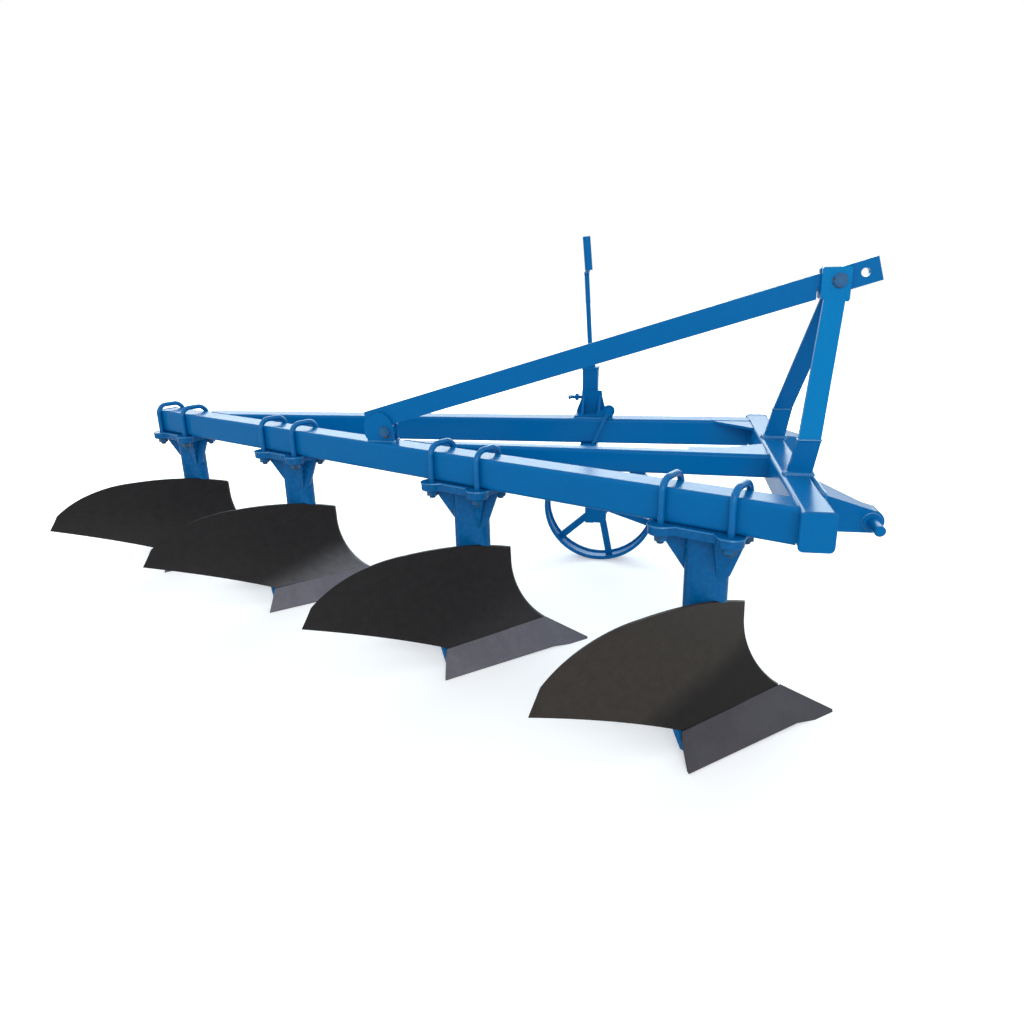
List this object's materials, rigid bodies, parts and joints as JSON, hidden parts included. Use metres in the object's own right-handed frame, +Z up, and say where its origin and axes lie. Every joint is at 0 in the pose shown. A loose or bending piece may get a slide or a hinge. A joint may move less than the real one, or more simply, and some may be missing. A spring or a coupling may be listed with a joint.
{
  "type": "moldboard plough",
  "caption": "Tractor-mounted share plough: a slanted steel beam carries right-hand bottoms behind a three-point headstock, with a crank-set gauge wheel.",
  "frame": {"origin": "on the ground under the middle of the whole plough's box", "axes": "+X the way the plough travels, +Y to its left, +Z up"},
  "size_m": [3.2062, 1.8166, 1.3942],
  "materials": {
    "frame_blue": "gloss",
    "board_black": "satin",
    "share_steel": "satin"
  },
  "bodies": {
    "frame": {"main_beam": "frame_blue", "cross_beam": "frame_blue", "side_beam": "frame_blue", "middle_beam": "frame_blue", "beam_caps": "frame_blue", "brace": "frame_blue", "brace_bracket": "frame_blue", "headstock_bolts": "frame_blue", "mast_post_right": "frame_blue", "mast_post_left": "frame_blue", "mast_foot_right": "frame_blue", "mast_foot_left": "frame_blue", "hitch_arm_right": "frame_blue", "hitch_arm_left": "frame_blue", "hitch_pin_right": "frame_blue", "hitch_pin_left": "frame_blue", "jack_housing": "frame_blue", "jack_saddle": "frame_blue", "jack_clamp": "frame_blue", "jack_screw": "frame_blue", "jack_set_screw": "frame_blue", "standard_1": "frame_blue", "moldboard_1": "board_black", "share_1": "share_steel", "landside_1": "share_steel", "frog_1": "frame_blue", "stay_1": "frame_blue", "u_bolts_1": "frame_blue", "standard_2": "frame_blue", "moldboard_2": "board_black", "share_2": "share_steel", "landside_2": "share_steel", "frog_2": "frame_blue", "stay_2": "frame_blue", "u_bolts_2": "frame_blue", "standard_3": "frame_blue", "moldboard_3": "board_black", "share_3": "share_steel", "landside_3": "share_steel", "frog_3": "frame_blue", "stay_3": "frame_blue", "u_bolts_3": "frame_blue", "standard_4": "frame_blue", "moldboard_4": "board_black", "share_4": "share_steel", "landside_4": "share_steel", "frog_4": "frame_blue", "stay_4": "frame_blue", "u_bolts_4": "frame_blue"},
    "wheel_leg": {"wheel_leg": "frame_blue", "wheel_axle": "frame_blue"},
    "gauge_wheel": {"gauge_wheel": "frame_blue"}
  },
  "joints": [
    {"name": "wheel_height", "type": "slide", "parent": "frame", "child": "wheel_leg", "axis": [0, 0, 1], "range_m": [0, 0.18]},
    {"name": "wheel_spin", "type": "hinge", "parent": "wheel_leg", "child": "gauge_wheel", "pos_m": [0.72696, 0.84032, 0.25], "axis": [0, 1, 0], "continuous": true}
  ]
}
